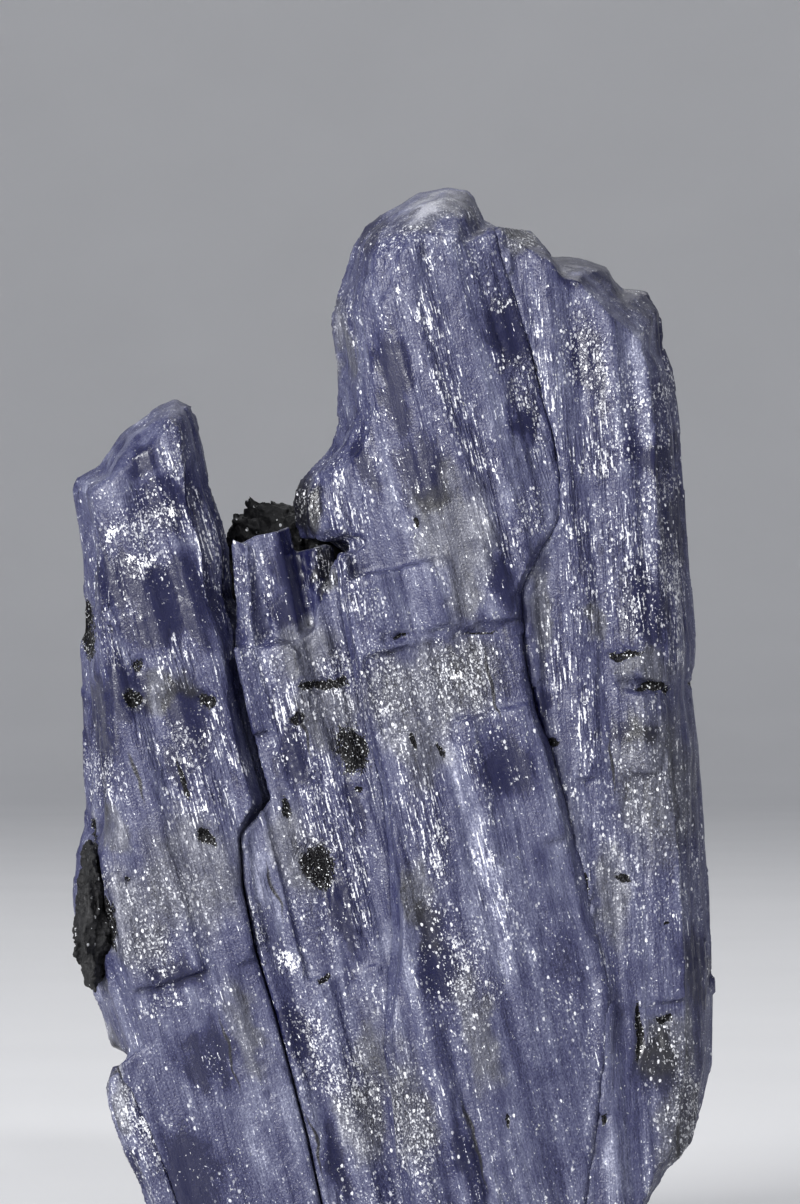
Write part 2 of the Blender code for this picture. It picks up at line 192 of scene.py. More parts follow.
class Grain:
    """A crystal's own measure of place in millimetres, for one lean of its striations."""

    def __init__(self, place, lean):
        slant = math.radians(lean)
        self.across_way = (math.cos(slant), 0.0, math.sin(slant))
        self.along_way = (-math.sin(slant), 0.0, math.cos(slant))
        self.across = place.dot(self.across_way) / MM
        self.depth = place.dot((0.0, 1.0, 0.0)) / MM
        self.along = place.dot(self.along_way) / MM

    def vector(self, width, stretch, shift):
        sockets = {
            "X": self.across / width + shift,
            "Y": self.depth / width,
            "Z": self.along / (width * stretch) + shift,
        }
        return self.across.node("ShaderNodeCombineXYZ", None, sockets)

    def noise(self, width, stretch=1.0, detail=1.0, shift=0.0):
        """Smooth noise round 0, mostly within 0.3. Its lumps are stretch times as long as they are wide."""
        sockets = {"Vector": self.vector(width, stretch, shift), "Scale": 1.0, "Detail": detail}
        return self.across.node("ShaderNodeTexNoise", None, sockets) - 0.5

    def cells(self, width, stretch=1.0, shift=0.0):
        """Splinters: how far a place is from its splinter's middle, and two random values of it."""
        sockets = {"Vector": self.vector(width, stretch, shift), "Scale": 1.0}
        distance = self.across.node("ShaderNodeTexVoronoi", None, sockets, "Distance")
        chance = distance.node("ShaderNodeSeparateXYZ", None, {0: distance.also("Color")}, "X")
        return distance, chance, chance.also("Y")

    def splinters(self, width, stretch=1.0, shift=0.0):
        """A random height round 0 for each splinter."""
        return self.cells(width, stretch, shift)[1] - 0.5

    def wandering(self, wander, detail=3.0):
        """Places across and along the grain that noise pushes about, so that what is drawn there wanders."""
        pushes = [self.noise(WANDER_WIDTH, WANDER_STRETCH, detail, shift) for shift in (11.0, 17.0)]
        sockets = {
            "X": self.across + wander * pushes[0],
            "Z": self.along + WANDER_ALONG * wander * pushes[1],
        }
        return self.across.node("ShaderNodeCombineXYZ", None, sockets)

    def front_mark(self, marks, flat, fade=FRONT_FADE):
        """1 within ovals on the front and 0 outside them. A mark is its place as x and z, its half width
        across the grain and its half length. The ovals are drawn on the wandering places in flat, and fade
        out between two depths."""
        if not marks:
            return self.across * 0.0
        nearest = None
        for (x, z), (half_width, half_length) in marks:
            across = x * self.across_way[0] + z * self.across_way[2]
            along = x * self.along_way[0] + z * self.along_way[2]
            shrink = (1 / half_width, 0.0, 1 / half_length)
            shift = (-across / half_width, 0.0, -along / half_length)
            offset = flat.vectors("MULTIPLY_ADD", flat, shrink, shift)
            distance = offset.vectors("LENGTH", offset, output="Value")
            nearest = distance if nearest is None else nearest.least(distance)
        return nearest.step(*OVAL_EDGE) * self.depth.step(*fade)


print("patterns are drawn in millimetres along each crystal's grain")

# %% [markdown]
# ## What lies where
#
# These are the marks that tell this specimen from another, as a collector would list them. Glints, which are
# painted highlights, come as sparkle (large grains), grit (fine points on a finer grain of the body),
# streaks (threads along the grain) and single flashes. The body is deepest blue in the pools, which also
# paint shade on the top bevel rims and the knob, pale in the milk, grey where it is worn and plain where it
# is calm. Graphite is
# black, and the cracks are painted shade: black lines without relief. Each mark is a place on the front (x
# and z in millimetres), its half width and half length. Marks fade out behind the front, and the pools,
# which reach over the bevels, do so deeper. A crystal also has the lean of its striations in degrees, the
# size of its mesh in millimetres, the pieces beside it, and how far its skin swells beside them, low down
# and high up.

# %% Crystals and their marks
CRYSTALS = {
    "left_crystal": {
        "lean": 15.5,
        "voxel": 0.2,
        "beside": ("foot_crystal", "middle_crystal", "side_graphite"),
        "seam": (0.0, 0.0),
        "sparkle": (
            ((-13.2, 48.2), (0.6, 1.6)), ((-17.0, 42.8), (1.0, 0.8)), ((-15.1, 41.3), (1.6, 0.9)),
            ((-13.0, 43.9), (0.7, 1.3)), ((-15.4, 43.4), (2.6, 1.0)), ((-17.5, 28.6), (0.9, 1.6)),
            ((-14.6, 18.6), (1.5, 1.8)), ((-14.2, 15.4), (1.3, 0.7)), ((-17.5, 23.0), (0.5, 0.8)),
            ((-12.4, 30.8), (1.8, 1.4)),
        ),
        "grit": (
            ((-15.6, 43.8), (2.6, 2.0)), ((-13.4, 10.4), (3.4, 2.8)), ((-13.4, 21.4), (3.4, 3.4)),
            ((-17.4, 29.0), (1.4, 2.2)), ((-9.2, 4.2), (2.6, 3.0)),
        ),
        "streak": (
            ((-11.2, 41.6), (0.9, 3.6)), ((-17.2, 37.4), (0.5, 3.0)), ((-13.2, 34.8), (1.6, 2.0)),
            ((-10.5, 31.6), (0.9, 3.2)), ((-11.8, 27.4), (2.0, 2.2)), ((-15.0, 31.0), (0.7, 2.0)),
        ),
        "pool": (
            ((-13.6, 38.5), (3.0, 2.0)), ((-17.5, 31.8), (1.1, 2.6)), ((-13.6, 45.0), (2.2, 1.8)),
            ((-16.4, 40.4), (1.8, 1.4)), ((-15.0, 47.4), (1.2, 1.0)), ((-12.6, 32.2), (1.4, 2.2)),
            ((-16.4, 33.8), (1.6, 1.8)), ((-13.6, 40.4), (2.6, 1.2)),
            ((-11.4, 12.2), (1.6, 1.6)), ((-12.4, 5.4), (2.2, 2.6)), ((-13.2, 17.0), (1.6, 0.9)),
            ((-12.8, 29.2), (1.2, 1.2)),
        ),
        "milk": (
            ((-18.9, 46.4), (0.7, 0.6)), ((-17.6, 47.9), (0.8, 0.6)), ((-15.9, 49.5), (0.8, 0.7)),
            ((-17.6, 15.8), (0.5, 1.2)), ((-8.4, 6.6), (1.0, 2.6)), ((-11.0, 35.6), (0.6, 1.4)),
        ),
        "worn": (
            ((-16.9, 25.8), (0.8, 1.3)), ((-12.6, 22.8), (3.2, 3.8)), ((-15.8, 20.4), (2.0, 3.4)),
            ((-17.0, 12.6), (0.5, 2.0)), ((-9.2, 14.0), (0.8, 3.4)), ((-13.8, 33.6), (1.8, 1.2)),
        ),
        "graphite": (
            ((-18.8, 37.6), (0.75, 1.9)), ((-15.5, 35.4), (0.45, 0.35)), ((-11.5, 33.4), (0.6, 0.5)),
            ((-15.8, 33.5), (0.5, 0.5)), ((-12.7, 28.6), (0.22, 1.1)), ((-11.4, 25.1), (0.4, 0.5)),
            ((-17.2, 20.4), (0.3, 2.0)), ((-18.2, 25.6), (0.3, 0.7)), ((-16.2, 22.8), (0.15, 0.25)),
        ),
        "crack": (((-15.5, 28.8), (0.11, 1.3)), ((-10.1, 12.6), (0.09, 2.2)), ((-16.6, 11.0), (0.11, 2.4))),
        "flash": (((-15.2, 41.7), (1.0, 0.45)), ((-17.0, 43.0), (0.5, 0.4)), ((-13.4, 44.3), (0.3, 0.5))),
        "calm": (((-12.2, 11.6), (3.0, 3.0)), ((-10.4, 5.6), (3.6, 4.4)), ((-17.0, 25.8), (0.8, 1.3)),
                 ((-16.4, 47.8), (2.4, 2.0)), ((-13.4, 38.3), (2.4, 1.6)), ((-14.6, 33.2), (3.6, 3.2))),
    },
    "foot_crystal": {
        "lean": 20.0,
        "voxel": 0.16,
        "beside": ("left_crystal",),
        "seam": (0.05, 0.05),
        "sparkle": (((-15.0, 8.4), (0.8, 3.0)),),
        "grit": (((-15.8, 7.0), (1.4, 4.6)),),
        "streak": (((-15.2, 9.0), (0.4, 2.2)), ((-14.0, 6.2), (0.35, 1.6))),
        "pool": (((-15.9, 5.6), (0.6, 1.4)),),
        "milk": (((-16.9, 8.0), (0.4, 2.4)),),
        "worn": (((-16.5, 9.4), (0.7, 1.6)),),
        "graphite": (),
        "crack": (),
        "flash": (((-14.9, 8.2), (0.2, 1.2)),),
        "calm": (),
    },
    "middle_crystal": {
        "lean": 14.5,
        "voxel": 0.17,
        "beside": ("left_crystal", "tall_crystal"),
        "seam": (0.2, 0.18),
        "sparkle": (
            ((-9.4, 40.0), (0.5, 1.8)), ((-8.1, 40.4), (0.4, 1.6)), ((-9.2, 37.9), (0.5, 0.5)),
            ((-5.0, 23.6), (0.8, 1.5)), ((-6.5, 17.8), (0.7, 1.4)), ((-5.0, 13.6), (0.9, 1.5)),
            ((-2.0, 9.4), (1.2, 2.4)), ((-4.0, 11.0), (1.3, 1.2)), ((-3.0, 35.2), (1.4, 1.3)),
        ),
        "grit": (
            ((-4.4, 12.6), (2.4, 4.0)), ((-2.6, 34.4), (2.8, 2.2)), ((-1.6, 5.0), (2.0, 3.4)),
            ((-8.0, 36.0), (1.2, 1.8)), ((-5.2, 21.0), (1.4, 3.4)),
        ),
        "streak": (
            ((-4.8, 41.4), (1.2, 1.3)), ((-4.0, 26.4), (1.5, 4.4)), ((-8.6, 20.6), (0.4, 2.8)),
            ((-3.0, 31.8), (1.0, 3.0)), ((-6.6, 32.6), (1.2, 2.8)), ((-2.6, 22.4), (0.9, 4.0)),
        ),
        "pool": (
            ((-6.6, 41.8), (1.1, 2.4)), ((-6.6, 38.9), (1.1, 1.2)), ((-4.6, 40.4), (0.6, 1.4)),
            ((-5.9, 13.4), (0.8, 2.0)), ((-3.6, 6.0), (0.8, 1.8)), ((-2.7, 27.2), (0.4, 3.0)),
            ((-3.4, 20.6), (0.7, 3.4)), ((-6.4, 30.0), (0.8, 2.0)),
        ),
        "milk": (
            ((-8.1, 35.6), (0.6, 1.7)), ((-7.8, 21.8), (0.5, 2.4)), ((-6.5, 17.9), (0.8, 1.4)),
            ((-3.6, 18.0), (1.3, 0.8)), ((-9.4, 38.8), (0.3, 1.8)), ((-0.5, 18.4), (0.6, 3.4)),
            ((-4.2, 14.4), (1.2, 3.2)), ((-2.6, 6.8), (1.0, 2.6)),
        ),
        "worn": (
            ((-5.6, 36.2), (1.8, 1.8)), ((-6.2, 24.4), (1.4, 3.4)), ((-4.6, 41.0), (0.7, 1.2)),
            ((-4.4, 32.6), (2.0, 2.4)), ((-1.6, 12.4), (1.2, 2.8)), ((-2.2, 8.6), (1.4, 3.0)),
        ),
        "graphite": (
            ((-4.5, 34.3), (1.5, 0.4)), ((-2.9, 30.5), (0.95, 1.6)), ((-6.8, 26.9), (0.35, 0.8)),
            ((-4.8, 23.3), (0.9, 1.4)), ((-4.6, 16.9), (0.35, 0.3)), ((-2.2, 28.0), (0.3, 0.3)),
            ((-6.1, 32.2), (0.55, 0.4)), ((-8.6, 29.0), (0.3, 0.5)),
        ),
        "crack": (((-7.4, 22.0), (0.1, 1.5)), ((-5.7, 31.6), (0.1, 1.8)), ((-5.0, 7.0), (0.11, 2.0))),
        "flash": (((-6.6, 17.9), (0.5, 0.9)), ((-4.9, 41.6), (0.3, 0.8)), ((-6.0, 32.2), (0.3, 0.3)),
                  ((-4.5, 24.2), (0.5, 0.5))),
        "calm": (((-6.2, 41.0), (1.4, 3.0)), ((-0.5, 18.8), (0.7, 3.6)), ((-7.7, 22.0), (0.5, 2.2))),
    },
    "tall_crystal": {
        "lean": 14.0,
        "voxel": 0.23,
        "beside": ("middle_crystal", "right_crystal"),
        "seam": (0.45, 0.24),
        "sparkle": (
            ((0.9, 61.0), (0.9, 0.7)), ((-3.1, 56.2), (0.5, 2.0)), ((6.0, 56.4), (0.6, 0.6)),
            ((6.6, 53.2), (0.8, 0.6)), ((7.7, 44.2), (0.9, 1.5)), ((-1.2, 34.4), (1.6, 2.2)),
            ((3.6, 34.6), (2.8, 1.8)), ((4.4, 17.0), (1.4, 3.0)), ((0.8, 8.2), (1.1, 3.8)),
            ((-6.0, 45.6), (0.8, 1.2)), ((2.4, 24.6), (1.0, 2.0)), ((7.4, 51.6), (0.7, 2.6)),
        ),
        "grit": (
            ((8.6, 13.0), (3.0, 9.0)), ((2.0, 33.2), (4.4, 3.4)), ((0.8, 8.6), (2.0, 5.0)),
            ((1.0, 60.6), (3.6, 1.6)), ((-2.0, 38.6), (2.0, 2.4)), ((3.0, 17.6), (2.6, 4.6)),
            ((5.0, 59.0), (1.6, 2.0)),
        ),
        "streak": (
            ((1.6, 58.8), (0.4, 1.2)), ((-0.1, 57.2), (0.25, 1.2)), ((2.0, 54.6), (0.8, 2.6)),
            ((3.4, 50.8), (0.7, 2.8)), ((4.9, 47.2), (0.8, 2.8)), ((6.4, 43.0), (0.7, 2.0)),
            ((-0.4, 47.8), (0.2, 4.0)), ((2.2, 48.9), (0.15, 4.4)), ((-3.2, 44.6), (1.1, 3.2)),
            ((-3.2, 40.6), (1.1, 2.6)), ((4.6, 28.4), (0.6, 2.4)), ((5.6, 22.4), (0.8, 3.8)),
            ((8.0, 48.8), (0.5, 3.0)),
            ((1.4, 26.4), (1.4, 3.6)),
        ),
        # The pool and worn marks at (-6.2, 45.4) are painted shade: they make the knob dark grey.
        "pool": (
            ((-0.3, 52.2), (0.9, 3.4)), ((6.2, 54.8), (0.8, 2.4)), ((7.1, 50.0), (0.7, 1.2)),
            ((-1.6, 61.2), (1.0, 0.9)), ((5.9, 40.0), (0.7, 2.2)), ((-6.2, 45.4), (1.2, 2.2)),
            ((6.4, 29.4), (1.6, 2.4)),
            ((2.2, 18.4), (0.9, 2.4)), ((4.3, 5.2), (0.8, 3.0)), ((-1.8, 47.0), (0.6, 2.4)),
            ((1.2, 46.4), (1.4, 2.4)),
        ),
        "milk": (
            ((1.8, 63.0), (2.4, 0.8)), ((5.7, 45.0), (1.0, 1.4)), ((0.2, 19.2), (0.8, 4.0)),
            ((7.6, 19.6), (1.1, 3.2)), ((3.0, 29.6), (0.8, 1.8)), ((5.0, 21.5), (1.8, 4.6)),
        ),
        "worn": (
            ((2.2, 62.2), (2.8, 1.2)), ((3.2, 43.6), (2.6, 3.2)), ((3.6, 40.0), (1.2, 2.6)),
            ((-3.3, 54.6), (0.6, 2.2)), ((2.0, 34.2), (4.4, 2.6)), ((-6.2, 45.4), (1.3, 2.3)),
            ((1.0, 30.6), (1.8, 2.4)), ((0.6, 9.4), (1.4, 3.6)), ((4.6, 14.0), (1.0, 4.0)),
            ((1.2, 21.4), (1.0, 2.6)),
        ),
        "graphite": (
            ((0.0, 37.3), (0.5, 0.14)), ((4.6, 37.3), (0.9, 0.12)), ((2.3, 30.5), (0.2, 0.8)),
            ((0.9, 30.9), (0.16, 0.5)), ((6.4, 8.8), (0.14, 0.4)), ((0.8, 43.9), (0.2, 0.3)),
        ),
        "crack": (((5.5, 34.2), (0.12, 2.1)), ((4.5, 7.2), (0.12, 2.9))),
        "flash": (
            ((2.3, 36.9), (0.42, 0.4)), ((3.2, 34.8), (0.6, 0.25)), ((1.5, 59.0), (0.22, 0.6)),
            ((-0.1, 57.4), (0.16, 0.6)), ((5.3, 24.6), (0.22, 0.9)),
        ),
        "calm": (
            ((8.0, 12.0), (3.2, 7.0)), ((1.8, 62.8), (2.8, 1.1)), ((0.0, 40.6), (1.5, 2.2)),
            ((3.4, 44.6), (1.8, 2.2)), ((0.2, 19.2), (0.8, 3.6)), ((-0.3, 52.0), (0.8, 3.0)),
            ((8.4, 23.8), (1.2, 2.6)),
        ),
    },
    "right_crystal": {
        "lean": 4.5,
        "voxel": 0.2,
        "beside": ("tall_crystal",),
        "seam": (0.5, 0.3),
        "sparkle": (
            ((7.2, 60.6), (1.2, 0.9)), ((11.0, 53.6), (1.5, 3.2)), ((15.8, 52.2), (0.7, 0.9)),
            ((13.8, 50.8), (0.7, 0.7)), ((16.8, 9.6), (0.9, 2.8)), ((15.2, 45.6), (1.2, 1.4)),
            ((16.0, 41.2), (1.1, 1.8)), ((12.2, 47.4), (1.1, 1.3)),
        ),
        "grit": (
            ((14.2, 26.0), (3.4, 7.2)), ((14.6, 50.6), (2.2, 4.6)), ((16.4, 9.4), (1.8, 5.0)),
            ((13.6, 40.6), (3.0, 4.6)),
        ),
        "streak": (
            ((8.3, 53.6), (0.7, 4.6)), ((9.6, 46.6), (0.6, 3.0)), ((10.8, 40.4), (1.1, 3.4)),
            ((11.0, 31.6), (0.6, 2.8)), ((13.4, 41.2), (1.3, 3.8)), ((16.2, 37.8), (0.9, 2.6)),
            ((9.2, 36.6), (0.7, 3.2)), ((11.6, 48.0), (1.4, 2.2)),
        ),
        # The first three pools here are painted shade that darkens the top bevel rims.
        "pool": (
            ((11.6, 59.6), (3.0, 1.3)), ((14.6, 57.8), (2.2, 1.6)), ((16.2, 55.0), (1.2, 1.8)),
            ((11.2, 52.6), (1.2, 3.0)),
            ((14.8, 48.0), (1.7, 1.3)), ((16.4, 43.8), (0.9, 2.0)), ((17.8, 17.2), (0.9, 2.2)),
            ((14.2, 38.8), (1.5, 2.2)), ((13.4, 31.6), (1.3, 1.2)), ((8.8, 33.0), (0.5, 1.6)),
            ((15.2, 12.6), (1.2, 1.8)),
        ),
        "milk": (((14.4, 54.0), (1.3, 1.1)), ((16.8, 21.8), (0.7, 2.2)), ((13.0, 6.0), (0.8, 2.4))),
        "worn": (
            ((7.4, 60.8), (1.5, 0.8)), ((15.0, 28.6), (2.8, 4.8)), ((8.4, 38.6), (0.8, 2.8)),
            ((15.8, 13.0), (1.8, 2.2)), ((11.4, 38.0), (0.6, 1.2)), ((16.4, 8.6), (1.5, 3.4)),
            ((14.6, 35.2), (1.8, 1.2)), ((12.6, 22.0), (1.0, 3.0)),
        ),
        "graphite": (
            ((13.2, 36.0), (1.1, 0.3)), ((14.9, 34.1), (1.2, 0.3)), ((17.4, 34.4), (0.4, 0.3)),
            ((7.6, 42.5), (0.18, 0.18)), ((8.9, 30.6), (0.45, 0.35)), ((9.7, 25.4), (0.2, 1.3)),
            ((10.9, 22.4), (0.22, 0.9)), ((13.2, 22.9), (0.4, 0.3)), ((14.1, 13.8), (0.25, 1.8)),
            ((15.6, 14.6), (0.6, 0.35)), ((12.0, 8.9), (0.2, 0.35)), ((15.8, 20.2), (0.1, 0.12)),
        ),
        "crack": (((16.6, 6.4), (0.1, 2.0)), ((12.4, 29.4), (0.09, 1.6))),
        "flash": (((10.0, 28.0), (0.4, 0.45)), ((14.0, 51.0), (0.3, 0.28)), ((8.2, 52.6), (0.16, 1.0))),
        "calm": (((14.4, 53.8), (1.3, 1.3)), ((12.8, 10.6), (1.6, 4.4)), ((14.9, 48.2), (1.3, 0.9)),
                 ((11.4, 58.8), (2.4, 0.8))),
    },
}
BROAD_KINDS = ("sparkle", "grit", "streak", "pool", "milk", "worn", "calm")
SHARP_KINDS = ("graphite", "crack", "flash")
BROAD_WANDER = 3.0
SHARP_WANDER = 1.2
# The pools reach deeper so that their painted shade covers the top bevel rims.
FADES = {"pool": (9.0, 6.0)}
BACK_PATCHES = {"worn": 21.0, "sparkle": 25.0, "pool": 29.0, "milk": 33.0}
print("marks:", sum(len(facts[kind]) for facts in CRYSTALS.values() for kind in BROAD_KINDS + SHARP_KINDS))

# %% [markdown]
# ## A skin of fine mesh
#
# The solids are faceted coarsely. A copy of each is remeshed at about a fifth of a millimetre, which is
# fine enough to hold ridges and splinters, and a Geometry Nodes modifier then moves its points. Sculpting
# by hand would give the same kind of surface, but nodes repeat it exactly and keep to the grain.

# %% Copy and remesh
FINEST_WELD = 0.001 * MM


def choose(piece):
    """Selects only this object and makes it active."""
    bpy.ops.object.select_all(action="DESELECT")
    piece.select_set(True)
    bpy.context.view_layer.objects.active = piece


def fine_copy(node, voxel):
    """A remeshed copy of a solid, still without relief."""
    choose(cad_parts[node])
    bpy.ops.object.duplicate()
    piece = bpy.context.object
    piece.name = node + "_skin"
    piece.parent = None
    for key in list(piece.keys()):
        del piece[key]
    bpy.ops.object.mode_set(mode="EDIT")
    bpy.ops.mesh.select_all(action="SELECT")
    bpy.ops.mesh.remove_doubles(threshold=FINEST_WELD)
    bpy.ops.object.mode_set(mode="OBJECT")
    remesh = piece.modifiers.new("fine skin", "REMESH")
    remesh.mode = "VOXEL"
    remesh.voxel_size = voxel * MM
    remesh.use_smooth_shade = True
    bpy.ops.object.modifier_apply(modifier=remesh.name)
    return piece


print("mesh sizes in mm:", {node: facts["voxel"] for node, facts in CRYSTALS.items()})

# %% [markdown]
# A Geometry Nodes group for a skin always starts with the geometry that goes in, and ends by moving each
# point along its normal. What lies between is the height, which differs between crystals and graphite.

# %% Groups that move a skin


def skin_tree(name):
    """A Geometry Nodes group, and the geometry that goes into it."""
    tree = bpy.data.node_groups.new(name, "GeometryNodeTree")
    for way in ("INPUT", "OUTPUT"):
        tree.interface.new_socket("Geometry", in_out=way, socket_type="NodeSocketGeometry")
    return tree, Value(tree, tree.nodes.new("NodeGroupInput").outputs[0])


def push_out(tree, geometry, normal, height):
    """Ends a group by moving each point along its normal, by a height in millimetres."""
    push = normal.node("ShaderNodeVectorMath", {"operation": "SCALE"}, {0: normal, "Scale": height * MM})
    moved = geometry.node("GeometryNodeSetPosition", None, {"Geometry": geometry, "Offset": push})
    tree.links.new(moved.socket, tree.nodes.new("NodeGroupOutput").inputs[0])


def apply_group(piece, tree):
    """Lets a group move a piece's skin for good."""
    modifier = piece.modifiers.new(tree.name, "NODES")
    modifier.node_group = tree
    choose(piece)
    bpy.ops.object.modifier_apply(modifier=modifier.name)


def triangles(piece):
    piece.data.calc_loop_triangles()
    return len(piece.data.loop_triangles)


print("skins move along their normals, in millimetres")

# %% [markdown]
# ## Relief
#
# Three things shape the skin of such a crystal. It grew in steps, which left flat laths and ridges along
# its length. It broke and wore at its ends, which are granular. And softer graphite has crumbled out of
# pits. Heights are in millimetres.

# %% Relief of a crystal
RIDGE_HEIGHT = 0.35
LATH_HEIGHT = 0.34
FIBRE_HEIGHT = 0.16
CRUMB_HEIGHT = 0.09
BREAK_HEIGHT = 0.6
PIT_DEPTH = 0.2
FLANK = (0.75, 0.3)


def crystal_relief(grain, normal, masks):
    """The height of a crystal's skin over its solid."""
    flank = normal.dot(grain.along_way).size().step(*FLANK)
    ridges = grain.noise(width=1.7, stretch=16.0) * RIDGE_HEIGHT
    wide = grain.splinters(width=1.3, stretch=9.0)
    narrow = grain.splinters(width=0.55, stretch=14.0, shift=7.0)
    laths = (wide + 0.6 * narrow) * LATH_HEIGHT
    fibres = grain.noise(width=0.45, stretch=18.0, shift=3.0) * FIBRE_HEIGHT
    lengthwise = ridges + (laths + fibres) * (1 - 0.7 * masks["calm"]) * (0.6 + 0.4 * masks["streak"])
    broken = grain.noise(width=2.2, detail=3.0, shift=9.0) * BREAK_HEIGHT
    rough = (masks["graphite"] + 0.5 * masks["worn"] + 0.5 * masks["sparkle"]).least(1.0)
    coarseness = CRUMB_HEIGHT * (0.6 + 3.0 * rough)
    crumbs = grain.noise(width=0.6, stretch=1.4, detail=3.0, shift=5.0) * coarseness
    return lengthwise * flank + broken * (1 - flank) + crumbs - masks["graphite"] * PIT_DEPTH


print("relief in mm:", {"ridges": RIDGE_HEIGHT, "laths": LATH_HEIGHT, "broken ends": BREAK_HEIGHT})

# %% [markdown]
# ## Seams
#
# The solids keep a gap of 0.3 mm to each other, but the real crystals have grown together. So close to a
# neighbour the relief fades and the skin swells instead: by each crystal's own amounts low down and high
# up, and deep in the seam by enough to let no light pass. The tall and the right crystal swell most low
# down, where the photo shows no groove between them.

# %% Seams
SEAM_NEAR = 0.32
RELIEF_FAR = 0.5
SWELL_FAR = 0.9
SEAM_HEAL = (28.0, 20.0)
DEEP_SEAM = (-2.0, 1.0)
DEEP_SWELL = 0.3


def seam_distance(geometry, neighbours):
    """How far each point is from the nearest of the other solids, in millimetres."""
    nearest = None
    for other in neighbours:
        target = geometry.node("GeometryNodeObjectInfo", None, {"Object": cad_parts[other]}, "Geometry")
        found = geometry.node("GeometryNodeProximity", {"target_element": "FACES"}, {0: target}, "Distance")
        nearest = found if nearest is None else nearest.least(found)
    return nearest / MM


def seam_swell(grain, amounts):
    """How far the skin swells right beside a neighbour."""
    low, high = amounts
    in_front = high + grain.along.step(*SEAM_HEAL) * (low - high)
    return in_front.most(grain.depth.step(*DEEP_SEAM) * DEEP_SWELL)


print("swelling starts", SWELL_FAR, "mm from a neighbour")

# %% [markdown]
# ## Dressing the crystals
#
# The group that moves a crystal's skin also stores its marks as attributes, so that the material can read
# them. At the back, which no photo shows, noise lays patches of some of the marks. Each crystal has its own
# lean, marks and neighbours. The tall one is the largest, so its mesh is a little coarser to stay light.

# %% Dress the crystals
PATCH_EDGE = (0.06, 0.2)


def crystal_masks(grain, facts):
    """Where each kind of mark lies on a crystal, from 0 to 1."""
    broad = grain.wandering(BROAD_WANDER)
    masks = {kind: grain.front_mark(facts[kind], broad, FADES.get(kind, FRONT_FADE)) for kind in BROAD_KINDS}
    behind = grain.depth.step(*reversed(FRONT_FADE))
    for kind, shift in BACK_PATCHES.items():
        patches = grain.noise(width=3.4, stretch=1.8, detail=2.0, shift=shift).step(*PATCH_EDGE)
        masks[kind] = masks[kind].most(patches * behind)
    masks["graphite"] = grain.front_mark(facts["graphite"], grain.wandering(SHARP_WANDER))
    return masks


def crystal_skin(name, facts):
    """A group that stores the marks on a crystal and moves its skin."""
    tree, geometry = skin_tree(name)
    grain = Grain(geometry.node("GeometryNodeInputPosition"), facts["lean"])
    normal = geometry.node("GeometryNodeInputNormal")
    masks = crystal_masks(grain, facts)
    seam = seam_distance(geometry, facts["beside"])
    relief = crystal_relief(grain, normal, masks) * seam.step(SEAM_NEAR, RELIEF_FAR)
    swell = seam_swell(grain, facts["seam"]) * seam.step(SWELL_FAR, SEAM_NEAR)
    for kind in BROAD_KINDS:
        settings = {"data_type": "FLOAT", "domain": "POINT"}
        sockets = {"Geometry": geometry, "Name": kind, "Value": masks[kind]}
        geometry = geometry.node("GeometryNodeStoreNamedAttribute", settings, sockets)
    push_out(tree, geometry, normal, relief + swell)
    return tree


def dress(node, facts):
    """A crystal's skin, with its relief applied, in place of its solid."""
    piece = fine_copy(node, facts["voxel"])
    apply_group(piece, crystal_skin(node + "_relief", facts))
    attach(piece, "root")
    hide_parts(node)
    print(node, triangles(piece), "triangles")
    return piece


skins = {node: dress(node, facts) for node, facts in CRYSTALS.items()}

# %% [markdown]
# ## Colours
#
# Tanzanite is a clear violet-blue mineral, but here countless flaws make it cloudy. One tone runs from deep
# blue to pale lavender, and where the crystal is worn the same tone runs through greys. Graphite is black,
# and only some of its flakes shine, by metallic reflection and by highlights painted into their colour.

# %% Colours
CRYSTAL_TONES = (
    (0.0, (0.007, 0.008, 0.04, 1.0)),
    (0.25, (0.024, 0.026, 0.08, 1.0)),
    (0.5, (0.06, 0.064, 0.129, 1.0)),
    (0.75, (0.125, 0.133, 0.209, 1.0)),
    (1.0, (0.34, 0.35, 0.46, 1.0)),
)
WORN_TONES = (
    (0.0, (0.012, 0.012, 0.017, 1.0)),
    (0.5, (0.08, 0.083, 0.116, 1.0)),
    (1.0, (0.36, 0.365, 0.42, 1.0)),
)
# The top stop is the silver of gleaming flakes, partly a painted highlight.
GRAPHITE_TONES = (
    (0.0, (0.003, 0.003, 0.004, 1.0)),
    (0.6, (0.016, 0.016, 0.017, 1.0)),
    (0.85, (0.05, 0.05, 0.052, 1.0)),
    (1.0, (0.62, 0.63, 0.64, 1.0)),
)
# Painted highlight: the glints are painted in this near-white.
PAINTED_GLINT_WHITE = (0.95, 0.96, 1.0, 1.0)
# Painted shade: the cracks, which have no relief, are drawn as lines of this black.
PAINTED_CRACK_SHADE = (0.006, 0.006, 0.012, 1.0)
print("tones on the ramps:", len(CRYSTAL_TONES), len(WORN_TONES), len(GRAPHITE_TONES))

# %% [markdown]
# Every material here starts the same way, and both minerals have glints painted in specks. A speck is a cell
# of a Voronoi texture that is painted bright if its random value is high enough, so a larger share paints
# more of them.

# %% Materials and specks
SPECK_LIT = (0.99, 1.03)
SPECK_ROUND = (0.6, 0.35)
SPECK_DIMMEST = 0.15


def new_material(name):
    """An empty material: its Principled shader and the place on the piece."""
    made = bpy.data.materials.new(name)
    made.use_nodes = True
    tree = made.node_tree
    shader = tree.nodes["Principled BSDF"]
    place = Value(tree, tree.nodes.new("ShaderNodeTexCoord").outputs["Object"])
    return made, shader, place


def join(value, shader, socket):
    value.tree.links.new(value.socket, shader.inputs[socket])


def bump(height, deepest, shader):
    """Lets the light fall as if the surface had this height."""
    join(height.node("ShaderNodeBump", None, {"Height": height, "Distance": deepest * MM}), shader, "Normal")


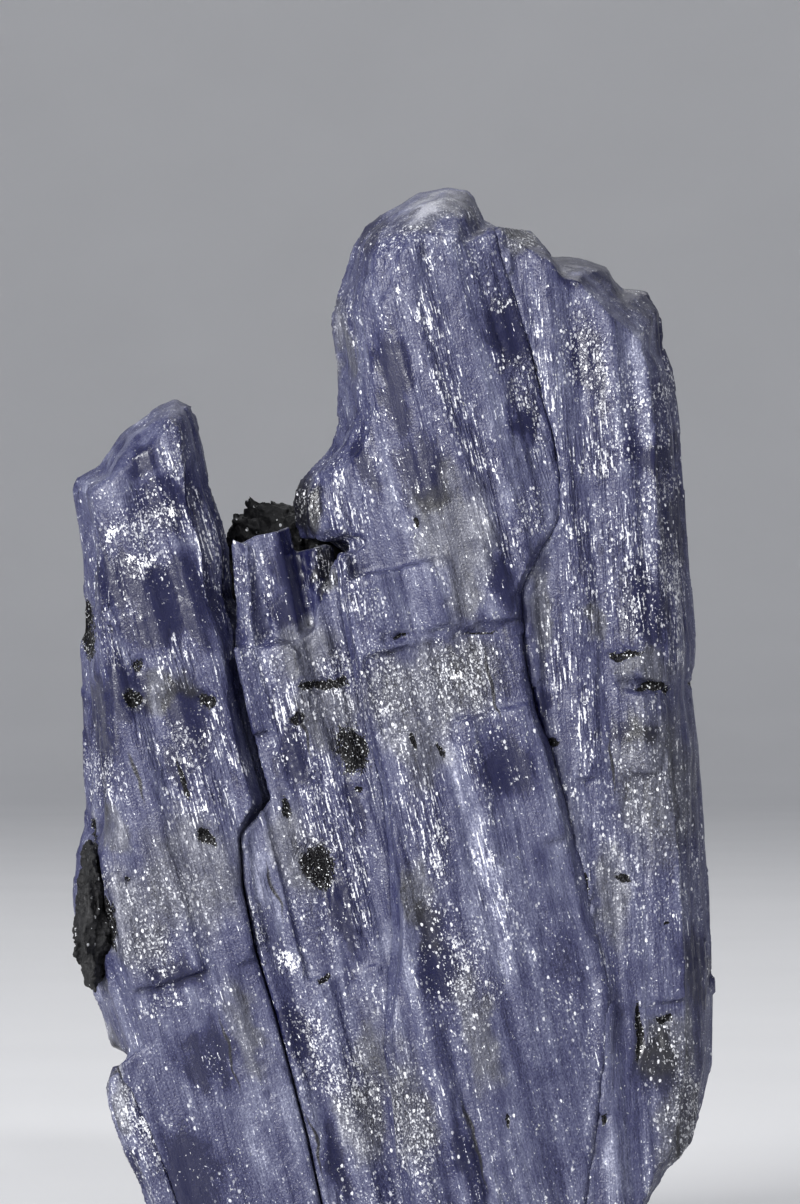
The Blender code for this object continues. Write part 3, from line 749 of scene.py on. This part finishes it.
def glint_specks(grain, width, stretch, shift, share):
    """Painted glint specks on this share of the cells: how bright each place is painted, from 0 to 1, and
    mostly low.
    """
    distance, chance, brightness = grain.cells(width, stretch, shift)
    lit = (chance + share).step(*SPECK_LIT)
    level = SPECK_DIMMEST + (1 - SPECK_DIMMEST) * brightness * brightness
    return lit * distance.step(*SPECK_ROUND) * level


print("the dimmest specks have", SPECK_DIMMEST, "of the full brightness")

# %% [markdown]
# ## The crystal's material
#
# A little of the light goes through, by plain transmission and index of refraction, and the cloudy body
# scatters the rest. The tone drifts in lumps, in clouds, in bands and in threads along the crystal. The
# glints are painted highlights, near-white in the colour and a little smoother: fine points, lines along the
# grain, larger grains and flares, which crowd where the marks say. Each is a sum of patterns, cut off by a
# step between the two values of its edge.

# %% Crystal material
TANZANITE_IOR = 1.69
CLEARNESS = 0.12
CRYSTAL_GLOSS = 0.3
CRYSTAL_BUMP = 0.1
MIDDLE_TONE = 0.44
DEEP_BLUE_AND_SHADE_DEPTH = 0.57
FINE_GLINT_EDGE = (0.2, 0.32)
GLINT_LINE_EDGE = (0.23, 0.33)
FLARE_EDGE = (0.55, 0.72)
BLACK_EDGE = (0.48, 0.56)
SMOOTHEST = 0.12


def tanzanite(name, facts):
    """The cloudy crystal's material, with its patterns laid along one crystal's striations."""
    made, shader, place = new_material(name)
    grain = Grain(place, facts["lean"])
    sparkle, grit, streak, pool, milk, worn, calm = (
        place.node("ShaderNodeAttribute", {"attribute_name": kind}, None, "Fac") for kind in BROAD_KINDS
    )
    sharp = grain.wandering(SHARP_WANDER, detail=2.0)
    graphite, crack, flash = (grain.front_mark(facts[kind], sharp) for kind in SHARP_KINDS)
    drift = grain.noise(width=4.2, stretch=2.2, detail=2.0, shift=6.0)
    cloud = grain.noise(width=1.2, stretch=1.6, detail=3.0, shift=12.0)
    bands = grain.noise(width=0.8, stretch=18.0, shift=8.0)
    threads = grain.noise(width=0.13, stretch=10.0, shift=2.0)
    points = grain.noise(width=0.11, stretch=1.25, shift=4.0)
    blots = grain.noise(width=0.34, stretch=1.3, detail=3.0, shift=14.0)

    # The body's tone
    ripple = threads * (0.5 + 0.7 * streak) + points * (0.6 + 0.5 * grit) + 0.25 * blots
    tone = MIDDLE_TONE + 0.8 * drift + 0.7 * bands + 0.65 * cloud + (1 - 0.15 * calm) * ripple
    # The pools darken the tone: deep blue zones of the body, and painted shade on the top bevel rims and the
    # knob.
    tone = tone - (DEEP_BLUE_AND_SHADE_DEPTH + 0.3 * drift) * pool + 0.22 * milk - 0.08 * sparkle
    grey = (worn * (0.9 + 1.2 * cloud)).step(0.0, 1.0)
    body = grey.mix(tone.ramp(*CRYSTAL_TONES), tone.ramp(*WORN_TONES))

    # Glints: painted highlights in near-white base colour, a little smoother than the body
    crowd = 0.25 * cloud + 0.15 * bands - 0.06 * calm
    fine_glints = (points + crowd + 0.07 * grit + 0.07 * sparkle).step(*FINE_GLINT_EDGE)
    glint_lines = (threads + 0.45 * points + crowd + 0.13 * streak + 0.04 * sparkle).step(*GLINT_LINE_EDGE)
    share = 0.02 + (0.3 + 0.9 * blots) * sparkle + 0.1 * streak + 0.1 * grit + 1.2 * crowd
    glint_grains = glint_specks(grain, width=0.17, stretch=1.5, shift=1.0, share=share)
    flare = (0.5 * flash + 1.7 * blots + 1.8 * points + 0.1 * sparkle).step(*FLARE_EDGE)
    painted_glint = (0.6 * fine_glints).most(0.85 * glint_lines).most(glint_grains).most(flare)
    body = painted_glint.mix(body, PAINTED_GLINT_WHITE)

    # Graphite, and cracks painted as lines of shade
    black = (graphite + 0.7 * cloud + 1.5 * blots + 1.6 * points).step(*BLACK_EDGE)
    body = black.mix(body, (0.42 + 2.8 * points + 0.6 * blots).ramp(*GRAPHITE_TONES))
    body = crack.mix(body, PAINTED_CRACK_SHADE)

    height = (points * (0.5 + 0.8 * sparkle) + threads * (0.5 + streak)) * (1 - 0.7 * pool)
    bump(height, CRYSTAL_BUMP, shader)
    join(body, shader, "Base Color")
    join((0.4 - 0.2 * painted_glint - 0.12 * pool + 0.2 * black).most(SMOOTHEST), shader, "Roughness")
    join(0.9 * black, shader, "Metallic")
    shader.inputs["IOR"].default_value = TANZANITE_IOR
    shader.inputs["Transmission Weight"].default_value = CLEARNESS
    shader.inputs["Specular IOR Level"].default_value = CRYSTAL_GLOSS
    return made


for node, skin in skins.items():
    skin.data.materials.clear()
    skin.data.materials.append(tanzanite(node + "_tanzanite", CRYSTALS[node]))
print("crystals coloured:", len(skins))

# %% [markdown]
# ## Graphite
#
# The two black lumps are crusts of soft graphite flakes. They are remeshed finely and crumbled by noise, and
# the flakes' faces gleam like dull metal, with highlights also painted into their colour.

# %% Graphite lumps
GRAPHITE_VOXEL = 0.11
GRAPHITE_CRUMBS = 0.35
GRAPHITE_GLOSS = 0.3
GRAPHITE_BUMP = 0.15


def crumble():
    """A group that breaks a lump into crumbs and flakes."""
    tree, geometry = skin_tree("crumble")
    grain = Grain(geometry.node("GeometryNodeInputPosition"), 0.0)
    normal = geometry.node("GeometryNodeInputNormal")
    height = (grain.noise(width=0.8, detail=4.0) * 2 + 0.7 * grain.splinters(width=0.55)) * GRAPHITE_CRUMBS
    push_out(tree, geometry, normal, height)
    return tree


def graphite_flakes():
    """Black flakes, some of which gleam, partly by highlights painted into their colour."""
    made, shader, place = new_material("graphite_flakes")
    grain = Grain(place, 0.0)
    lumps = grain.noise(width=0.35, detail=4.0)
    gleam = glint_specks(grain, width=0.2, stretch=1.5, shift=2.0, share=0.16)
    # The gleams are painted bright into the colour, and are also made metallic and smoother.
    join((0.3 + 1.2 * lumps + 0.9 * gleam).ramp(*GRAPHITE_TONES), shader, "Base Color")
    join(0.6 - 0.3 * gleam, shader, "Roughness")
    join(0.6 * gleam, shader, "Metallic")
    bump(lumps + gleam * 0.3, GRAPHITE_BUMP, shader)
    shader.inputs["Specular IOR Level"].default_value = GRAPHITE_GLOSS
    return made


flaky_black = graphite_flakes()
crumbled = crumble()
for node in ("side_graphite", "notch_graphite"):
    lump = fine_copy(node, GRAPHITE_VOXEL)
    apply_group(lump, crumbled)
    lump.data.materials.clear()
    lump.data.materials.append(flaky_black)
    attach(lump, "root")
    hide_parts(node)
    print(node, triangles(lump), "triangles")

# %% [markdown]
# ## Studio
#
# The cluster stands on a plain pale floor that curves up all round into a wall, so that no edge shows from
# any side. The bowl is a disc whose rim is drawn out and up in small steps. Its sizes are in metres.

# %% Floor and wall
FLOOR_RADIUS = 0.9
FLOOR_SIDES = 96
CURVE_RADIUS = 0.5
CURVE_STEPS = 12
WALL_HEIGHT = 1.1
PAPER_TONES = ((0.7, 0.7, 0.71, 1.0), (0.76, 0.76, 0.77, 1.0))
PAPER_ROUGHNESS = 0.9


def bowl():
    """A round floor that curves up into a wall."""
    bpy.ops.object.select_all(action="DESELECT")
    bpy.ops.mesh.primitive_circle_add(vertices=FLOOR_SIDES, radius=FLOOR_RADIUS, fill_type="NGON")
    made = bpy.context.object
    made.name = "studio_bowl"
    bpy.ops.object.mode_set(mode="EDIT")
    bpy.ops.mesh.select_mode(type="EDGE")
    bpy.ops.mesh.select_all(action="SELECT")
    bpy.ops.mesh.region_to_loop()
    radius, height = FLOOR_RADIUS, 0.0
    for step in range(1, CURVE_STEPS + 1):
        angle = step / CURVE_STEPS * math.pi / 2
        next_radius = FLOOR_RADIUS + CURVE_RADIUS * math.sin(angle)
        next_height = CURVE_RADIUS * (1 - math.cos(angle))
        grow_rim(next_radius / radius, next_height - height)
        radius, height = next_radius, next_height
    grow_rim(1.0, WALL_HEIGHT - height)
    bpy.ops.object.mode_set(mode="OBJECT")
    bpy.ops.object.shade_smooth()
    return made


def grow_rim(grow, rise):
    """Draws the selected rim out and up."""
    bpy.ops.mesh.extrude_edges_move(TRANSFORM_OT_translate={"value": (0, 0, rise)})
    bpy.ops.transform.resize(value=(grow, grow, 1.0), center_override=(0, 0, 0))


def backdrop_paper():
    """Matt pale paper, a little uneven."""
    made, shader, place = new_material("pale_paper")
    mottle = Grain(place, 0.0).noise(width=40.0, detail=2.0)
    join((0.5 + mottle).mix(*PAPER_TONES), shader, "Base Color")
    shader.inputs["Roughness"].default_value = PAPER_ROUGHNESS
    return made


studio = bowl()
studio.data.materials.append(backdrop_paper())
print("wall stands", round(FLOOR_RADIUS + CURVE_RADIUS, 2), "m away")

# %% [markdown]
# ## Light
#
# A large soft panel at the left, a little above the cluster, models the faces. A small one at the upper
# right makes the glints flash, and a broad one high behind lights the back and the top edges. The pale sky
# over the bowl fills the shadows.

# %% Lights
SKY_COLOUR = (0.9, 0.93, 1.0, 1.0)
SKY_STRENGTH = 0.36


def panel(name, azimuth, elevation, distance, size, power):
    """A square light that faces the cluster. Azimuth 0 is in front and 90 at the right."""
    turn, rise = math.radians(azimuth), math.radians(elevation)
    flat = distance * math.cos(rise)
    spot = (flat * math.sin(turn), -flat * math.cos(turn), VIEW_CENTRE_Z + distance * math.sin(rise))
    bpy.ops.object.light_add(type="AREA", location=spot, rotation=(math.pi / 2 - rise, 0, turn))
    light = bpy.context.object
    light.name = name
    light.data.shape = "SQUARE"
    light.data.size = size
    light.data.energy = power


panel("key_panel", azimuth=-40, elevation=16, distance=0.6, size=0.25, power=5.0)
panel("glint_panel", azimuth=20, elevation=36, distance=0.55, size=0.06, power=0.9)
panel("back_panel", azimuth=170, elevation=62, distance=0.6, size=0.5, power=1.3)
world = bpy.data.worlds.new("pale_sky")
bpy.context.scene.world = world
world.use_nodes = True
sky = world.node_tree.nodes["Background"]
sky.inputs["Color"].default_value = SKY_COLOUR
sky.inputs["Strength"].default_value = SKY_STRENGTH
bpy.context.scene.view_settings.view_transform = "Standard"
